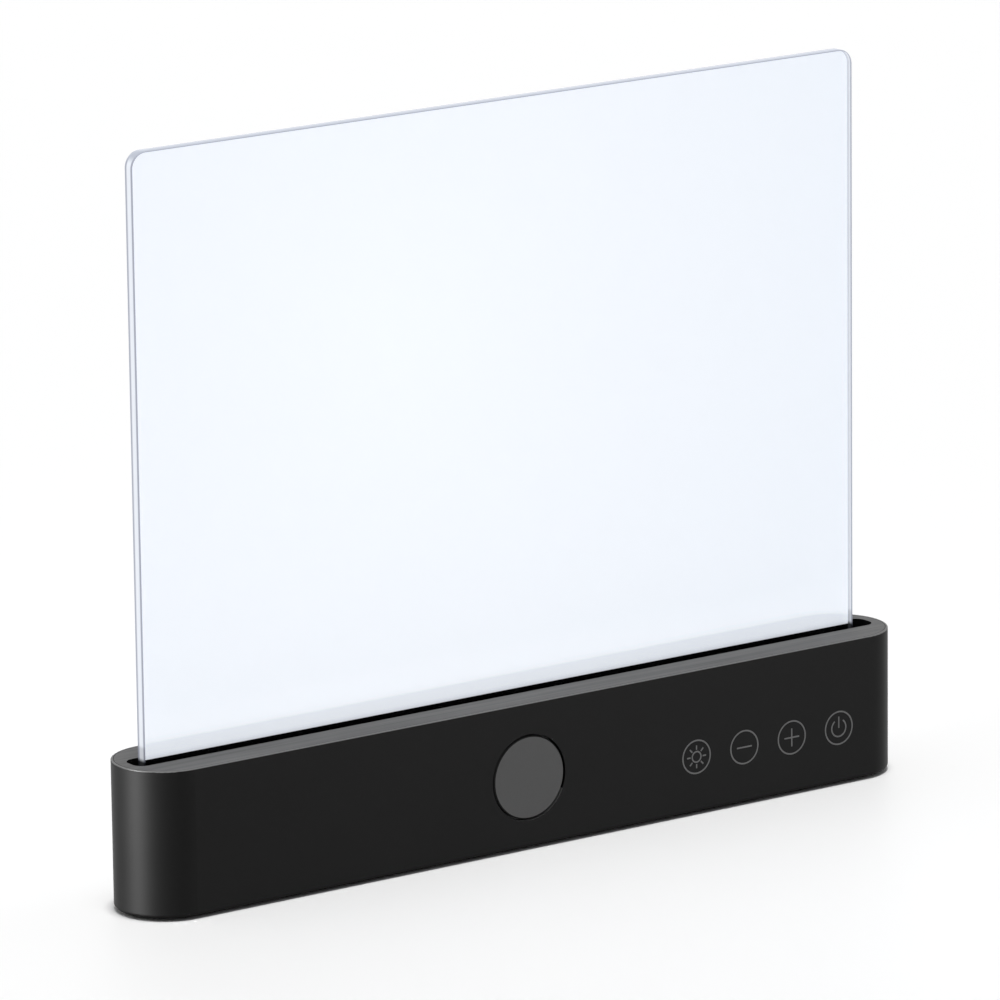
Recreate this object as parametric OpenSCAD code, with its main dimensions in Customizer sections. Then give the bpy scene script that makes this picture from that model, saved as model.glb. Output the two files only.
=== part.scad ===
// Book light: an edge-lit acrylic sheet that stands in the slot of a bar-shaped base.
// X runs along the base, the front face looks along -Y, and Z = 0 is the table. Millimetres.

/* [Sheet] */
// Width of the acrylic sheet
panel_w = 230; // [206:1:260]
// Height of the sheet above the base
panel_rise = 159; // [100:1:200]
// Thickness of the sheet
panel_t = 3.2; // [2.6:0.1:3.6]
// Radius of the top corners of the sheet
panel_corner_r = 4.3; // [1:0.1:12]
// Border of clear sheet round the glow film
film_inset = 0.3; // [0.2:0.1:4]
// Depth of the lower edge of the film below the top of the base
film_drop = 0.5; // [0.5:0.5:3.5]
// Thickness of the glow film
film_t = 0.2; // [0.1:0.05:0.25]

/* [Base] */
// Depth of the base from front to back
base_d = 28; // [27:0.5:34]
// Height of the top of the base above the table
base_h = 40; // [36:0.5:55]
// Wall thickness of the housing
wall = 2; // [1.6:0.1:2.2]
// Radius of the lower outer edge of the housing
bottom_edge_r = 1; // [0.4:0.1:1.3]
// Radius of the upper outer edge of the housing
top_edge_r = 0.3; // [0.1:0.05:0.4]
// Width of the lip of the housing round the top plate
lip_t = 0.6; // [0.5:0.1:0.9]
// Thickness of the top plate
plate_t = 2; // [1.5:0.1:3]
// Thickness of the bottom cover
cover_t = 2; // [1.8:0.1:2.4]
// Height of the feet below the housing
foot_proud = 0.7; // [0.4:0.1:1]
// Diameter of a foot
foot_d = 8; // [6:0.5:8.5]

/* [Slot] */
// Width of the slot in the top plate
slot_w = 8; // [7.4:0.1:9]
// Room between each end of the slot and the sheet
slot_end_gap = 4.5; // [3:0.1:8]
// Radius of the corners of the slot
slot_corner_r = 3; // [1:0.1:3.6]
// Width of the top at each tip of the base, past the slot
end_rim = 3.5; // [3:0.1:8]
// Room between the sheet and the rear edge of the slot
panel_back_gap = 0.4; // [0.3:0.05:0.8]

/* [Round button] */
// Diameter of the round button
button_d = 22.6; // [18:0.1:24]
// Gap round the button
button_gap = 0.45; // [0.3:0.05:0.7]
// Place of the button along the base, from the middle
button_x = -4; // [-6:0.5:6]
// Height of the centre of the button
button_z = 19.8; // [18:0.1:20.5]
// Travel of the button
button_travel = 0.5; // [0.3:0.05:0.6]

/* [Touch signs] */
// Diameter of the ring of a touch sign
icon_d = 9.5; // [8:0.1:12]
// Width of the lines of a sign
icon_stroke = 0.4; // [0.3:0.05:0.6]
// Depth of the lines in the front wall
icon_depth = 0.4; // [0.2:0.05:0.8]
// Distance from one sign to the next
icon_pitch = 16; // [14:0.5:17]
// Distance from the right tip of the base to the last sign
icon_inset = 24; // [22:0.5:28]
// Height of the centres of the signs
icon_z = 16.1; // [15:0.1:22]

/* [Inside] */
// Diameter of the rechargeable cell
cell_d = 18.4; // [14:0.1:20.6]
// Length of the rechargeable cell
cell_l = 65; // [48:0.5:73]
// Depth of the steel weight from front to back
ballast_w = 10.5; // [8:0.5:11]
// Room between the end of the steel weight and the charging board
ballast_end_gap = 9.3; // [1:0.1:40]
// Room between the top of the steel weight and the channel
ballast_top_gap = 1.9; // [1:0.1:10]
// Thickness of the control board
board_t = 1.6; // [1:0.1:1.8]
// Distance from the front wall to the control board
board_setback = 7; // [6.8:0.1:7.6]
// Thickness of the side bars of the aluminium channel
channel_t = 1.2; // [1:0.1:1.4]
// Thickness of a grip strip
grip_t = 0.6; // [0.4:0.05:0.7]
// Number of light chips on the lit strip
led_count = 24; // [12:1:30]
// Diameter of the insulated leads
lead_d = 1; // [0.8:0.1:1.2]

/* [Hidden] */
$fn = 96;

// Clearances between pieces
fit_gap = 0.15;
screw_gap = 0.05;
inlay_gap = 0.02;
slide_gap = 0.12;
seat_gap = 0.05;
bench_gap = 1;
least_corner_r = 0.2;
cut = 1;

// Base outline, worked out from the sheet and the slot
slot_l = panel_w + 2 * slot_end_gap;
base_l = slot_l + 2 * end_rim;
end_r = base_d / 2;
end_x = base_l / 2 - end_r;
inner_r = end_r - wall;
housing_z = foot_proud;
floor_z = housing_z + cover_t;
plate_z = base_h - plate_t;
plate_r = end_r - lip_t - fit_gap;
cover_r = inner_r - fit_gap;

// Rechargeable cell in its tray on the bottom cover
cradle_wall = 1.5;
cradle_floor = 0.6;
cradle_end_h = 8;
cradle_half = inner_r - bench_gap;
cell_gap = 0.1;
cell_board_t = 1;
cell_z = floor_z + cradle_floor + cell_gap + cell_d / 2;
cell_top = cell_z + cell_d / 2;

// Sheet, lit strip and channel above the cell
panel_y = slot_w / 2 - panel_back_gap - panel_t / 2;
channel_clear = 0.8;
led_gap = 0.5;
led_h = 0.7;
led_l = 3;
led_w = 1.4;
led_board_t = 0.8;
led_board_side = 0.2;
channel_floor = 1.4;
channel_drop = 4;
shield_t = 1.2;
shield_over = 1;
channel_z = cell_top + channel_clear;
led_board_z = channel_z + channel_floor;
led_z = led_board_z + led_board_t;
panel_z = led_z + led_h + led_gap;
panel_h = base_h + panel_rise - panel_z;
channel_top = plate_z - channel_drop;
channel_in = panel_t / 2 + slide_gap + grip_t;
channel_out = channel_in + channel_t;
shield_y = -slot_w / 2 - shield_over;
shield_z = channel_top - shield_t;
cap_wall = 2.5;
cap_gap = 0.3;
cap_ledge = 3;
cap_tab_w = 6;
cap_tab_over = 0.5;
cap_x = panel_w / 2 + cap_gap;
cap_tab_x = slot_l / 2 + cap_tab_over;
channel_half = cap_x + cap_wall;
led_board_half = cap_x - cap_ledge - bench_gap;
led_board_y = panel_y - channel_in + led_board_side;
led_board_w = 2 * (channel_in - led_board_side);
grip_margin = 0.5;
grip_z = panel_z + bench_gap;
grip_half = cap_x - grip_margin;

// Countersunk screws as [shank diameter, head diameter, head height, length]
SMALL_SCREW = [2, 3.8, 1.1, 8];
LARGE_SCREW = [3, 5.6, 1.6, 9];
drive_w = 0.6;
drive_depth = 0.6;
drive_share = 0.7;

// Screw bosses of the housing, set into the round ends of its wall
boss_r = 3;
boss_h = 9;
boss_weld = 0.25;
boss_angle = 58;
boss_reach = inner_r - boss_r + boss_weld;
BOSS_SPOTS = [
    for (sx = [-1, 1], sy = [-1, 1])
        [sx * (end_x + boss_reach * cos(boss_angle)), sy * boss_reach * sin(boss_angle)]
];

// Feet
foot_recess = 0.8;
foot_inset = 15;
foot_margin = 0.85;
foot_x = end_x - foot_inset;
foot_y = cover_r - foot_d / 2 - foot_margin;
FOOT_SPOTS = [for (sx = [-1, 1], sy = [-1, 1]) [sx * foot_x, sy * foot_y]];

// Pillars that carry the channel, with the cell's tray between two of them
pillar_r = 3.5;
pillar_x = end_x - bench_gap;
cradle_x = -pillar_x + pillar_r + bench_gap;
cradle_l = 2 * cradle_wall + 2 * cell_gap + cell_l + cell_board_t;
cradle_x1 = cradle_x + cradle_l;
cell_x = cradle_x + cradle_wall + cell_gap;
cell_board_x = cell_x + cell_l;
mid_pillar_x = cradle_x1 + bench_gap + pillar_r;
PILLARS = [-pillar_x, mid_pillar_x, pillar_x];

// Lines inside the rings of the touch signs
sun_r = 1.65;
ray_start = 2;
ray_end = 3.15;
ray_count = 8;
bar_l = 5;
power_r = 2.6;
power_open = 35;
power_top = 3.15;

// Control board
board_y = -inner_r + board_setback;
board_back = board_y + board_t;
board_left = 7.3;
board_right = 7;
board_rise = 2.3;
board_top_gap = 1.8;
board_x0 = cradle_x1 + board_left;
icon_last_x = base_l / 2 - icon_inset;
ICONS = [for (k = [3, 2, 1, 0]) icon_last_x - k * icon_pitch];
board_x1 = icon_last_x + board_right;
board_z0 = floor_z + board_rise;
board_z1 = shield_z - board_top_gap;
post_w = 5;
post_wall = 1.6;
post_grip = 7;
POSTS = [board_x0 + post_w / 2, board_x1 - post_w / 2];
chip_size = 5;
chip_t = 0.9;
chip_z = board_z0 + post_grip;
CHIPS = [for (k = [0, 1]) ICONS[k] - icon_pitch / 2];

// Round button and the switch behind it
flange_over = 1.05;
flange_r = button_d / 2 + button_gap + flange_over;
flange_t = 1.2;
flange_y = -inner_r + seat_gap;
button_chamfer = 0.35;
stem_r = 2.5;
stem_l = 0.7;
tact_side = 6;
plunger_r = 1.7;
plunger_gap = 0.1;
plunger_deep = 1;
plunger_clear = 1;
plunger_room = 0.6;
plunger_rise = button_travel + plunger_clear;
tact_bore_depth = plunger_deep + button_travel + plunger_room;
stem_y = flange_y + flange_t + stem_l;
plunger_y = stem_y + seat_gap;
tact_y = plunger_y + plunger_rise;

// Coil springs as [coil diameter, wire diameter, turns]
TOUCH_SPRING = [5, 0.5, 5];
BUTTON_SPRING = [13, 0.7, 3];
coil_rings = 8;
coil_sides = 6;
button_spring_y = flange_y + flange_t + seat_gap;

// Steel weight behind the control board
ballast_gap = 0.6;
ballast_x = mid_pillar_x + pillar_r + bench_gap;
ballast_y1 = inner_r - ballast_gap;
ballast_mid = ballast_y1 - ballast_w / 2;
ballast_z1 = channel_z - ballast_top_gap;
ballast_screw_inset = 15;

// Charging board and its socket
charge_w = 26;
charge_clear = 2;
charge_t = 1;
charge_gap = 0.4;
charge_rise = 3.7;
charge_rail = 2;
charge_side = 4.5;
charge_x1 = pillar_x - pillar_r - charge_side;
charge_x = charge_x1 - charge_w;
ballast_x1 = charge_x - ballast_end_gap;
BALLAST_SCREWS = [ballast_x + ballast_screw_inset, ballast_x1 - ballast_screw_inset];
charge_y = board_back + charge_clear;
charge_d = inner_r - charge_gap - charge_y;
charge_z = floor_z + charge_rise;
usb_w = 8.94;
usb_h = 3.26;
usb_l = 7.3;
usb_wall = 0.3;
usb_mouth_gap = 0.3;
usb_setback = 0.2;
usb_tongue_w = 6.6;
usb_tongue_t = 0.7;
usb_tongue_l = 4.6;
usb_base_l = 1.6;
usb_x = charge_x + charge_w / 2;
usb_z = charge_z + charge_t + usb_h / 2;
usb_y1 = inner_r - usb_setback;
usb_y0 = usb_y1 - usb_l;

// Leads in pairs, along routes through points chosen by hand
lead_sides = 8;
lead_pitch = 2;
lead_bore_gap = 0.25;
lead_inset = 4;
led_lead_x = board_x0 + lead_inset;
led_lead_z = led_board_z + led_board_t / 2;
LED_LEAD = [
    [0, board_back, 0],
    [0, (board_back + led_board_y) / 2, 0],
    [0, led_board_y, 0]
];
charge_lead_inset = 2.4;
charge_lead_x = charge_x + lead_inset;
charge_lead_y = charge_y + charge_lead_inset;
CHARGE_LEAD = [
    [0, charge_lead_y, 0],
    [0, charge_lead_y, 2],
    [0, charge_lead_y - 1, 3.7],
    [0, board_back + 1.4, 4.6],
    [0, board_back, 4.6]
];
cell_lead_inset = 5;
cell_lead_lift = 3;
cell_lead_side = 2.4;
cell_lead_x = cell_board_x + cell_board_t;
cell_lead_y = -cell_d / 2 + cell_lead_side;
cell_lead_z = cell_z + cell_lead_lift;
cell_lead_end = board_x0 + cell_lead_inset;
CELL_LEAD = [
    [cell_lead_x, cell_lead_y, 0],
    [cell_lead_x + 2, cell_lead_y, 0],
    [cell_lead_x + 6, board_y - 2.4, 0],
    [cell_lead_end - 4, board_y - 2.8, 0],
    [cell_lead_end - 1, board_y - 2.2, 0],
    [cell_lead_end, board_y - 1, 0],
    [cell_lead_end, board_y, 0]
];

function unit(v) = v / norm(v);

// One ring of points about centre c, square to direction t, starting from normal n
function ring(c, t, n, r, sides) = [
    for (k = [0 : sides - 1])
        c + r * (cos(360 * k / sides) * n + sin(360 * k / sides) * cross(t, n))
];

// Closed tube through a list of rings
module tube(rings) {
    sides = len(rings[0]);
    last = len(rings) - 1;
    points = [for (r = rings) each r];
    walls = [
        for (i = [0 : last - 1], k = [0 : sides - 1])
            let (a = i * sides + k, b = i * sides + (k + 1) % sides)
                each [[a, a + sides, b + sides], [a, b + sides, b]]
    ];
    start_cap = [for (k = [1 : sides - 2]) [0, k, k + 1]];
    end_cap = [for (k = [1 : sides - 2]) [last * sides, last * sides + k + 1, last * sides + k]];
    polyhedron(points, concat(walls, start_cap, end_cap));
}

// Lead of round wire along a hand-chosen route
function lead_heading(route, i) =
    unit(route[min(i + 1, len(route) - 1)] - route[max(i - 1, 0)]);
module lead(route) {
    slant = unit([1, 2, 4]);
    tube([
        for (i = [0 : len(route) - 1])
            let (t = lead_heading(route, i))
                ring(route[i], t, unit(cross(slant, t)), lead_d / 2, lead_sides)
    ]);
}

// Coil spring along Y, from y0 to y1, with straight ends that meet both faces squarely
function radial(a) = [cos(a), 0, sin(a)];
function around(a) = [-sin(a), 0, cos(a)];
function coil_steps(spring) = spring[2] * coil_rings;
function coil_centre(spring, y0, y1, i) =
    let (rise = y1 - y0 - 2 * spring[1])
        spring[0] / 2 * radial(360 * i / coil_rings)
        + [0, y0 + spring[1] + rise * i / coil_steps(spring), 0];
function coil_heading(spring, y0, y1, i) =
    let (
        a = 360 * i / coil_rings,
        rise = (y1 - y0 - 2 * spring[1]) / spring[2],
        along = rise / (PI * spring[0]),
        bend = i == 0 || i == coil_steps(spring) ? 1 : along
    )
        unit(around(a) + [0, bend, 0]);
function coil_gap(spring, y0, y1) =
    min([
        for (i = [0 : coil_steps(spring)], j = [i + coil_rings - 1 : 1 : coil_steps(spring)])
            norm(coil_centre(spring, y0, y1, i) - coil_centre(spring, y0, y1, j)) - spring[1]
    ]);
module coil_spring(spring, y0, y1) {
    steps = coil_steps(spring);
    wire_r = spring[1] / 2;
    axis = [0, 1, 0];
    first = spring[0] / 2 * radial(0) + [0, y0, 0];
    final = spring[0] / 2 * radial(360 * steps / coil_rings) + [0, y1, 0];
    tube(concat(
        [ring(first, axis, radial(0), wire_r, coil_sides)],
        [
            for (i = [0 : steps])
                ring(coil_centre(spring, y0, y1, i), coil_heading(spring, y0, y1, i),
                    radial(360 * i / coil_rings), wire_r, coil_sides)
        ],
        [ring(final, axis, radial(360 * steps / coil_rings), wire_r, coil_sides)]
    ));
}
echo(least_gap_touch_spring = coil_gap(TOUCH_SPRING, 0, board_setback));
echo(least_gap_button_spring = coil_gap(BUTTON_SPRING, button_spring_y, board_y));

// Flat shapes
module half_disc(r) {
    intersection() {
        circle(r);
        translate([0, -r]) square([r, 2 * r]);
    }
}

// Plan with half-round ends of radius r about points at half_x from the middle
module bar_plan(half_x, r) {
    square([2 * half_x, 2 * r], center = true);
    for (side = [0, 1])
        mirror([side, 0]) translate([half_x, 0]) half_disc(r);
}

// Rectangle with round corners
module round_plan(w, h, r) {
    square([w, h - 2 * r], center = true);
    square([w - 2 * r, h], center = true);
    for (sx = [-1, 1], sy = [-1, 1])
        translate([sx * (w / 2 - r), sy * (h / 2 - r)]) circle(r);
}

module ring_plan(r, w) {
    difference() {
        circle(r);
        circle(r - w);
    }
}

module bar(r, z0, z1) {
    translate([0, 0, z0]) linear_extrude(z1 - z0) bar_plan(end_x, r);
}

// Flat shape in X and Z, made solid from y0 to y1
module upright(y0, y1) {
    translate([0, y1, 0]) rotate([90, 0, 0]) linear_extrude(y1 - y0) children();
}

// Turned shape whose axis runs along +Y from y0
module turned(x, y0, z) {
    translate([x, y0, z]) rotate([-90, 0, 0]) rotate_extrude() children();
}

// Countersunk screw that points up, with its head flush at the origin, or the hole for it
module screw(size, grow = 0) {
    cylinder(h = size[2], d1 = size[1] + 2 * grow, d2 = size[0] + 2 * grow);
    cylinder(h = size[3] + grow, d = size[0] + 2 * grow);
    if (grow > 0) translate([0, 0, -cut]) cylinder(h = cut, d = size[1] + 2 * grow);
}

module driven_screw(size) {
    difference() {
        screw(size);
        for (turn = [0, 90])
            rotate(turn)
                translate([-size[1] * drive_share / 2, -drive_w / 2, -cut])
                    cube([size[1] * drive_share, drive_w, cut + drive_depth]);
    }
}

// Half section of the outside of the housing, with rounded lower and upper edges
module edge_cut(r) {
    difference() {
        square(r);
        translate([0, r]) circle(r);
    }
}
module housing_section() {
    difference() {
        translate([0, housing_z]) square([end_r, base_h - housing_z]);
        translate([end_r - bottom_edge_r, housing_z]) edge_cut(bottom_edge_r);
        translate([end_r - top_edge_r, base_h]) mirror([0, 1]) edge_cut(top_edge_r);
    }
}
module housing_outside() {
    rotate([90, 0, 90])
        linear_extrude(2 * end_x, center = true) {
            housing_section();
            mirror([1, 0]) housing_section();
        }
    for (side = [0, 1])
        mirror([side, 0, 0])
            translate([end_x, 0, 0])
                rotate(-90) rotate_extrude(angle = 180) housing_section();
}

module housing_shell() {
    color("#242424")
        difference() {
            union() {
                difference() {
                    housing_outside();
                    bar(inner_r, housing_z - cut, base_h + cut);
                    bar(end_r - lip_t, plate_z, base_h + cut);
                }
                intersection() {
                    for (spot = BOSS_SPOTS)
                        translate([spot[0], spot[1], floor_z]) cylinder(h = boss_h, r = boss_r);
                    bar(inner_r + boss_weld, floor_z, floor_z + boss_h);
                }
            }
            for (spot = BOSS_SPOTS)
                translate([spot[0], spot[1], housing_z]) screw(SMALL_SCREW, screw_gap);
            turned(button_x, -end_r - cut, button_z)
                square([button_d / 2 + button_gap, wall + 2 * cut]);
            translate([usb_x, 0, usb_z])
                upright(inner_r - cut, end_r + cut)
                    bar_plan((usb_w - usb_h) / 2, usb_h / 2 + usb_mouth_gap);
            upright(-end_r - cut, -end_r + icon_depth) {
                icon_plan_brightness(inlay_gap);
                icon_plan_minus(inlay_gap);
                icon_plan_plus(inlay_gap);
                icon_plan_power(inlay_gap);
            }
        }
}

module top_plate() {
    color("#4a4a4a")
        difference() {
            bar(plate_r, plate_z, base_h);
            translate([0, 0, plate_z - cut])
                linear_extrude(plate_t + 2 * cut) round_plan(slot_l, slot_w, slot_corner_r);
        }
}

module bottom_cover() {
    color("#1d1d1d")
        difference() {
            union() {
                bar(cover_r, housing_z, floor_z);
                for (x = PILLARS)
                    translate([x, panel_y, housing_z])
                        cylinder(h = channel_z - housing_z, r = pillar_r);
                for (x = POSTS)
                    translate([x - post_w / 2, board_y - post_wall, housing_z])
                        cube([post_w, board_t + 2 * post_wall, board_z0 + post_grip - housing_z]);
                for (x = [charge_x, charge_x1 - charge_rail])
                    translate([x, charge_y, housing_z])
                        cube([charge_rail, charge_d, charge_z - housing_z]);
            }
            for (x = POSTS)
                translate([x - post_w / 2 - cut, board_y - seat_gap, board_z0])
                    cube([post_w + 2 * cut, board_t + 2 * seat_gap, post_grip + cut]);
            for (spot = BOSS_SPOTS)
                translate([spot[0], spot[1], housing_z]) screw(SMALL_SCREW, screw_gap);
            for (x = BALLAST_SCREWS)
                translate([x, ballast_mid, housing_z]) screw(LARGE_SCREW, screw_gap);
            for (x = PILLARS)
                translate([x, panel_y, led_board_z]) rotate([180, 0, 0]) screw(SMALL_SCREW, screw_gap);
            for (spot = FOOT_SPOTS)
                translate([spot[0], spot[1], housing_z - cut])
                    cylinder(h = cut + foot_recess, d = foot_d + 2 * fit_gap);
        }
}

module cover_screws() {
    color("silver")
        for (spot = BOSS_SPOTS)
            translate([spot[0], spot[1], housing_z]) driven_screw(SMALL_SCREW);
}

module rubber_feet() {
    color("#303030")
        for (spot = FOOT_SPOTS)
            translate([spot[0], spot[1], 0]) cylinder(h = foot_proud + foot_recess, d = foot_d);
}

module ballast_bar() {
    color("#8b8f94")
        difference() {
            translate([ballast_x, ballast_y1 - ballast_w, floor_z])
                cube([ballast_x1 - ballast_x, ballast_w, ballast_z1 - floor_z]);
            for (x = BALLAST_SCREWS)
                translate([x, ballast_mid, housing_z]) screw(LARGE_SCREW, screw_gap);
        }
}

module ballast_screws() {
    color("silver")
        for (x = BALLAST_SCREWS)
            translate([x, ballast_mid, housing_z]) driven_screw(LARGE_SCREW);
}

// Ways in for the lit strip's wires, at the foot of the channel's front side
module led_lead_bores() {
    for (k = [0, 1])
        turned(led_lead_x + k * lead_pitch, panel_y - channel_out - cut, led_lead_z)
            square([lead_d / 2 + lead_bore_gap, channel_t + 2 * cut]);
}

module channel_base() {
    color("#2b2b2d")
        difference() {
            translate([-channel_half, panel_y - channel_out, channel_z])
                cube([2 * channel_half, 2 * channel_out, channel_floor]);
            for (x = PILLARS)
                translate([x, panel_y, led_board_z]) rotate([180, 0, 0]) screw(SMALL_SCREW, screw_gap);
            led_lead_bores();
        }
}

// Side bar of the channel, up to the height given
module channel_side(y, top) {
    translate([-channel_half, y, led_board_z])
        cube([2 * channel_half, channel_t, top - led_board_z]);
}
module channel_front() {
    color("#2b2b2d")
        difference() {
            channel_side(panel_y - channel_out, shield_z);
            led_lead_bores();
        }
}
module channel_back() {
    color("#2b2b2d") channel_side(panel_y + channel_in, channel_top);
}

// End piece of the channel, with the ledge that a lower corner of the sheet stands on and the tab
// that closes the slot past the channel
module channel_end(side) {
    half_w = channel_in - seat_gap;
    mirror([side, 0, 0]) {
        translate([cap_x, panel_y - half_w, led_board_z])
            cube([cap_wall, 2 * half_w, channel_top - led_board_z]);
        translate([cap_x - cap_ledge, panel_y - half_w, led_board_z])
            cube([cap_ledge, 2 * half_w, panel_z - seat_gap - led_board_z]);
        translate([cap_x + cap_wall, -cap_tab_w / 2, shield_z])
            cube([cap_tab_x - cap_x - cap_wall, cap_tab_w, shield_t]);
    }
}
module channel_end_left() {
    color("#3a3a3a") channel_end(1);
}
module channel_end_right() {
    color("#3a3a3a") channel_end(0);
}

module channel_screws() {
    color("silver")
        for (x = PILLARS)
            translate([x, panel_y, led_board_z]) rotate([180, 0, 0]) driven_screw(SMALL_SCREW);
}

// Grip strip on one wall of the channel
module grip_strip(side) {
    near = side > 0 ? channel_in - grip_t : -channel_in;
    translate([-grip_half, panel_y + near, grip_z])
        cube([2 * grip_half, grip_t, channel_top - grip_z]);
}
module grip_strip_front() {
    color("#50545a") grip_strip(-1);
}
module grip_strip_back() {
    color("#50545a") grip_strip(1);
}

// Flat strip on the front wall of the channel, which closes the slot in front of the sheet
module slot_shield() {
    color("#1d1d1d")
        translate([-channel_half, shield_y, shield_z])
            cube([2 * channel_half, panel_y - channel_in - shield_y, shield_t]);
}

module led_board() {
    color("white")
        translate([-led_board_half, led_board_y, led_board_z])
            cube([2 * led_board_half, led_board_w, led_board_t]);
}

module led_chips() {
    pitch = 2 * led_board_half / led_count;
    color("#f3e6a0")
        for (k = [0 : led_count - 1])
            translate([-led_board_half + (k + 0.5) * pitch - led_l / 2, panel_y - led_w / 2, led_z])
                cube([led_l, led_w, led_h]);
}

// Outline of the sheet, or of the film inside its border, in X and Z
module sheet_plan(inset, z0) {
    half_w = panel_w / 2 - inset;
    top = panel_z + panel_h - inset;
    r = max(panel_corner_r - inset, least_corner_r);
    translate([-half_w, z0]) square([2 * half_w, top - r - z0]);
    translate([-half_w + r, z0]) square([2 * half_w - 2 * r, top - z0]);
    for (sx = [-1, 1])
        translate([sx * (half_w - r), top - r]) circle(r);
}

module light_panel() {
    color("#eef3fc", 0.6)
        upright(panel_y - panel_t / 2, panel_y + panel_t / 2) sheet_plan(0, panel_z);
}

module glow_film() {
    color("#f3f7fe")
        upright(panel_y + panel_t / 2, panel_y + panel_t / 2 + film_t)
            sheet_plan(film_inset, base_h - film_drop);
}

module control_board() {
    color("#1f5a3a")
        translate([board_x0, board_y, board_z0])
            cube([board_x1 - board_x0, board_t, board_z1 - board_z0]);
}

module control_chips() {
    color("#17181a")
        for (x = CHIPS)
            translate([x - chip_size / 2, board_back, chip_z]) cube([chip_size, chip_t, chip_size]);
}

module touch_springs() {
    color("silver")
        for (x = ICONS)
            translate([x, 0, icon_z]) coil_spring(TOUCH_SPRING, -inner_r, board_y);
}

// Lines of the touch signs, drawn as seen from the front and grown a little for their pockets
module icon_ring(k, grow) {
    translate([ICONS[k], icon_z]) ring_plan(icon_d / 2 + grow, icon_stroke + 2 * grow);
}
module icon_line(l, grow) {
    square([l + 2 * grow, icon_stroke + 2 * grow], center = true);
}
module icon_plan_brightness(grow = 0) {
    icon_ring(0, grow);
    translate([ICONS[0], icon_z]) {
        ring_plan(sun_r + grow, icon_stroke + 2 * grow);
        for (k = [0 : ray_count - 1])
            rotate(360 * k / ray_count)
                translate([(ray_start + ray_end) / 2, 0]) icon_line(ray_end - ray_start, grow);
    }
}
module icon_plan_minus(grow = 0) {
    icon_ring(1, grow);
    translate([ICONS[1], icon_z]) icon_line(bar_l, grow);
}
module icon_plan_plus(grow = 0) {
    icon_ring(2, grow);
    translate([ICONS[2], icon_z]) {
        icon_line(bar_l, grow);
        rotate(90) icon_line(bar_l, grow);
    }
}
module icon_plan_power(grow = 0) {
    reach = icon_d;
    lift = grow / sin(power_open);
    icon_ring(3, grow);
    translate([ICONS[3], icon_z]) {
        difference() {
            ring_plan(power_r + grow, icon_stroke + 2 * grow);
            translate([0, lift])
                polygon([[0, 0], [reach * tan(power_open), reach], [-reach * tan(power_open), reach]]);
        }
        translate([0, power_top / 2]) rotate(90) icon_line(power_top, grow);
    }
}
module icon_brightness() {
    color("#757575") upright(-end_r, -end_r + icon_depth - inlay_gap) icon_plan_brightness();
}
module icon_minus() {
    color("#757575") upright(-end_r, -end_r + icon_depth - inlay_gap) icon_plan_minus();
}
module icon_plus() {
    color("#757575") upright(-end_r, -end_r + icon_depth - inlay_gap) icon_plan_plus();
}
module icon_power() {
    color("#757575") upright(-end_r, -end_r + icon_depth - inlay_gap) icon_plan_power();
}

// Section of the button from its face at 0 back to the end of its stem
module push_button() {
    back = flange_y + flange_t + end_r;
    stem_end = stem_y + end_r;
    color("#4f4f4f")
        turned(button_x, -end_r, button_z)
            polygon([
                [0, 0],
                [button_d / 2 - button_chamfer, 0],
                [button_d / 2, button_chamfer],
                [button_d / 2, back - flange_t],
                [flange_r, back - flange_t],
                [flange_r, back],
                [stem_r, back],
                [stem_r, stem_end],
                [0, stem_end]
            ]);
}

module button_spring() {
    color("silver")
        translate([button_x, 0, button_z]) coil_spring(BUTTON_SPRING, button_spring_y, board_y);
}

module tact_switch() {
    color("#262626")
        difference() {
            translate([button_x - tact_side / 2, tact_y, button_z - tact_side / 2])
                cube([tact_side, board_y - tact_y, tact_side]);
            turned(button_x, tact_y - cut, button_z)
                square([plunger_r + plunger_gap, tact_bore_depth + cut]);
        }
}

module tact_plunger() {
    color("#b9b4a6")
        turned(button_x, plunger_y, button_z) square([plunger_r, plunger_rise + plunger_deep]);
}

module battery_cell() {
    color("#3f6fa8")
        translate([cell_x, 0, cell_z]) rotate([0, 90, 0]) cylinder(h = cell_l, d = cell_d);
}

module battery_board() {
    color("#1f5a3a")
        translate([cell_board_x, 0, cell_z]) rotate([0, 90, 0]) cylinder(h = cell_board_t, d = cell_d);
}

module battery_cradle() {
    room_l = cradle_l - 2 * cradle_wall;
    color("#2e2e2e")
        difference() {
            translate([cradle_x, -cradle_half, floor_z])
                cube([cradle_l, 2 * cradle_half, cell_z - floor_z]);
            translate([cradle_x + cradle_wall, 0, cell_z])
                rotate([0, 90, 0]) cylinder(h = room_l, d = cell_d + 2 * cell_gap);
            for (x = [cradle_x - cut, cradle_x + cradle_l - cradle_wall])
                translate([x, -cradle_half - cut, floor_z + cradle_end_h])
                    cube([cradle_wall + cut, 2 * cradle_half + 2 * cut, cell_z]);
        }
}

module charge_board() {
    color("#1f5a3a")
        translate([charge_x, charge_y, charge_z]) cube([charge_w, charge_d, charge_t]);
}

module usb_shell() {
    straight = (usb_w - usb_h) / 2;
    color("silver")
        translate([usb_x, 0, usb_z])
            difference() {
                upright(usb_y0, usb_y1) bar_plan(straight, usb_h / 2);
                upright(usb_y0 + usb_wall, usb_y1 + cut) bar_plan(straight, usb_h / 2 - usb_wall);
            }
}

module usb_tongue() {
    straight = (usb_w - usb_h) / 2;
    back = usb_y0 + usb_wall;
    color("#1a1a1a")
        translate([usb_x, 0, usb_z]) {
            upright(back, back + usb_base_l) bar_plan(straight, usb_h / 2 - usb_wall - inlay_gap);
            translate([-usb_tongue_w / 2, back + usb_base_l, -usb_tongue_t / 2])
                cube([usb_tongue_w, usb_tongue_l, usb_tongue_t]);
        }
}

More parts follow.
